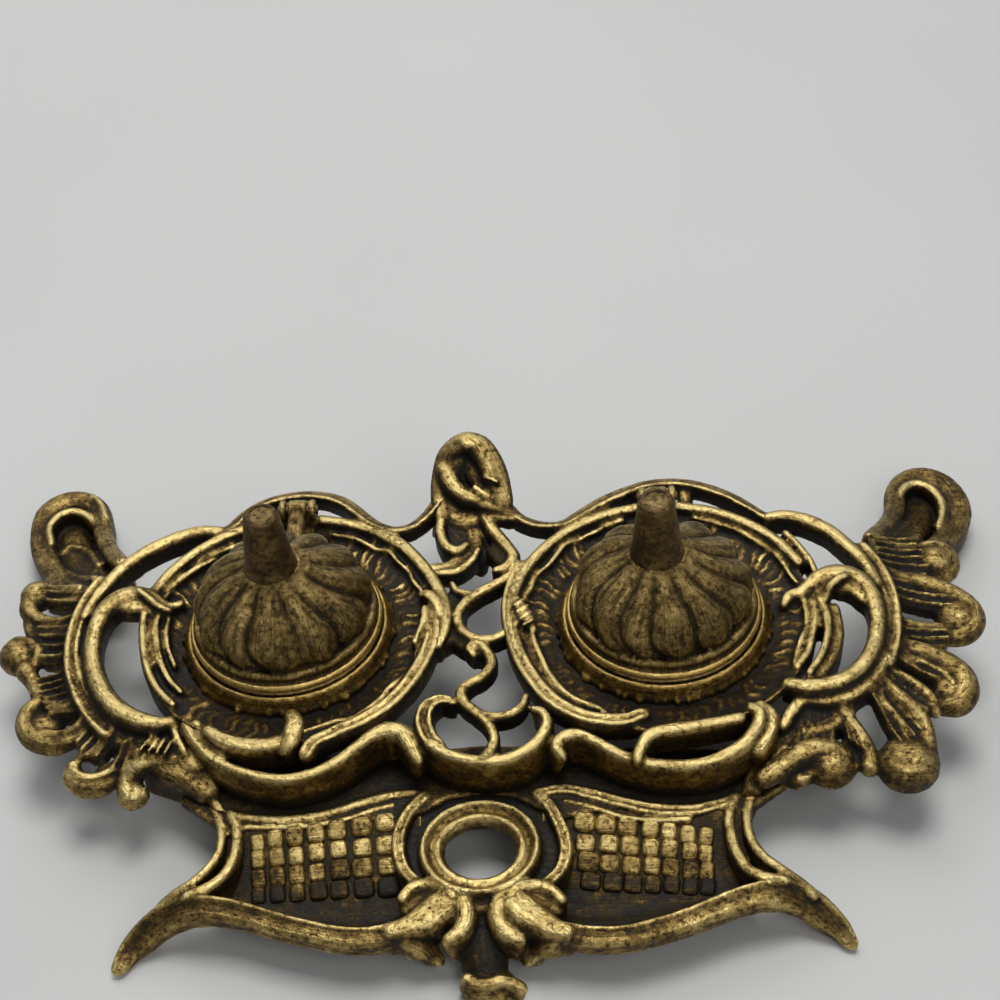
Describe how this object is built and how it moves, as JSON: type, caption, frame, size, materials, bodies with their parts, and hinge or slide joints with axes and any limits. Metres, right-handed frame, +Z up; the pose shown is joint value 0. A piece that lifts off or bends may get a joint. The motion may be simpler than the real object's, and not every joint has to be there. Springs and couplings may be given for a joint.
{
  "type": "desk inkstand",
  "caption": "Openwork cast-brass desk inkstand with hinged lobed lids over drop-in ink pots and a low pen tray with a ring in front.",
  "frame": {"origin": "on the table, under the middle of the stand", "axes": "+X to the right of someone sitting at the desk, +Y to the back, +Z up"},
  "size_m": [0.2368, 0.1537, 0.0609],
  "materials": {
    "cast_brass": "polished ridges over dark patina",
    "tray_brass": "polished ridges over dark patina",
    "collar_brass": "worn satin",
    "lid_brass": "dull brown patina",
    "rod_brass": "dull",
    "pot_glass": "pressed, slightly green"
  },
  "bodies": {
    "stand": {"gallery": "cast_brass", "pen_tray": "tray_brass", "left_collar": "collar_brass", "right_collar": "collar_brass", "left_ink_pot": "pot_glass", "right_ink_pot": "pot_glass", "left_hinge_pin": "rod_brass", "right_hinge_pin": "rod_brass"},
    "left_cover": {"left_lid": "lid_brass", "left_finial": "lid_brass", "left_finial_rod": "rod_brass", "left_finial_nut": "rod_brass"},
    "right_cover": {"right_lid": "lid_brass", "right_finial": "lid_brass", "right_finial_rod": "rod_brass", "right_finial_nut": "rod_brass"}
  },
  "joints": [
    {"name": "left_lid_hinge", "type": "hinge", "parent": "stand", "child": "left_cover", "pos_m": [-0.044, 0.0431, 0.0306], "axis": [-1, 0, 0], "range_deg": [0, 104]},
    {"name": "right_lid_hinge", "type": "hinge", "parent": "stand", "child": "right_cover", "pos_m": [0.041, 0.0431, 0.0306], "axis": [-1, 0, 0], "range_deg": [0, 104]}
  ]
}
